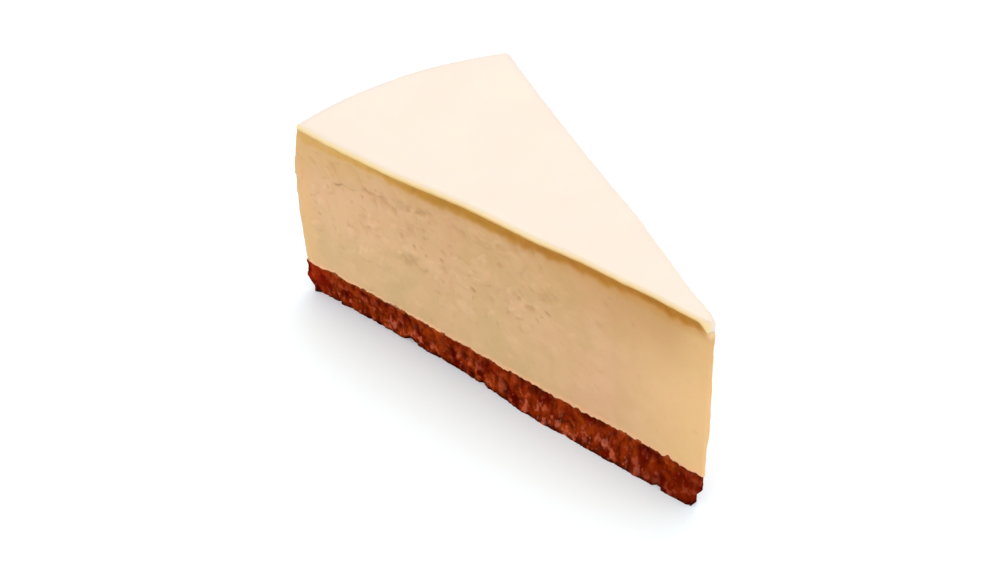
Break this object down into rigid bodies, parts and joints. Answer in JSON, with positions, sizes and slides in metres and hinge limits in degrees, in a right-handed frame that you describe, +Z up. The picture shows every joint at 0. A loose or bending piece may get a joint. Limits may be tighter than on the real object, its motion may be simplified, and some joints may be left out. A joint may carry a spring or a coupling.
{
  "type": "new york cheesecake slice",
  "caption": "Wedge of New York style baked cheesecake: pressed dark crumb base, dense tan filling and a thin smooth pale top.",
  "frame": {"origin": "on the flat underside of the crumb base, below the middle of the bounding box", "axes": "+Z up through the layers, +Y from the tip of the slice towards the outer wall of the cake, the cut face that the picture shows on the -X side"},
  "size_m": [0.0574, 0.1175, 0.046],
  "materials": {
    "crumb": "rough pressed dark brown biscuit crumbs",
    "cheese": "dense baked cream cheese, tan, dull and slightly moist at the cut",
    "pale_cheese": "smooth pale cream skin, satin"
  },
  "bodies": {
    "root": {"crumb_base": "crumb", "filling": "cheese", "pale_top": "pale_cheese"}
  },
  "joints": []
}
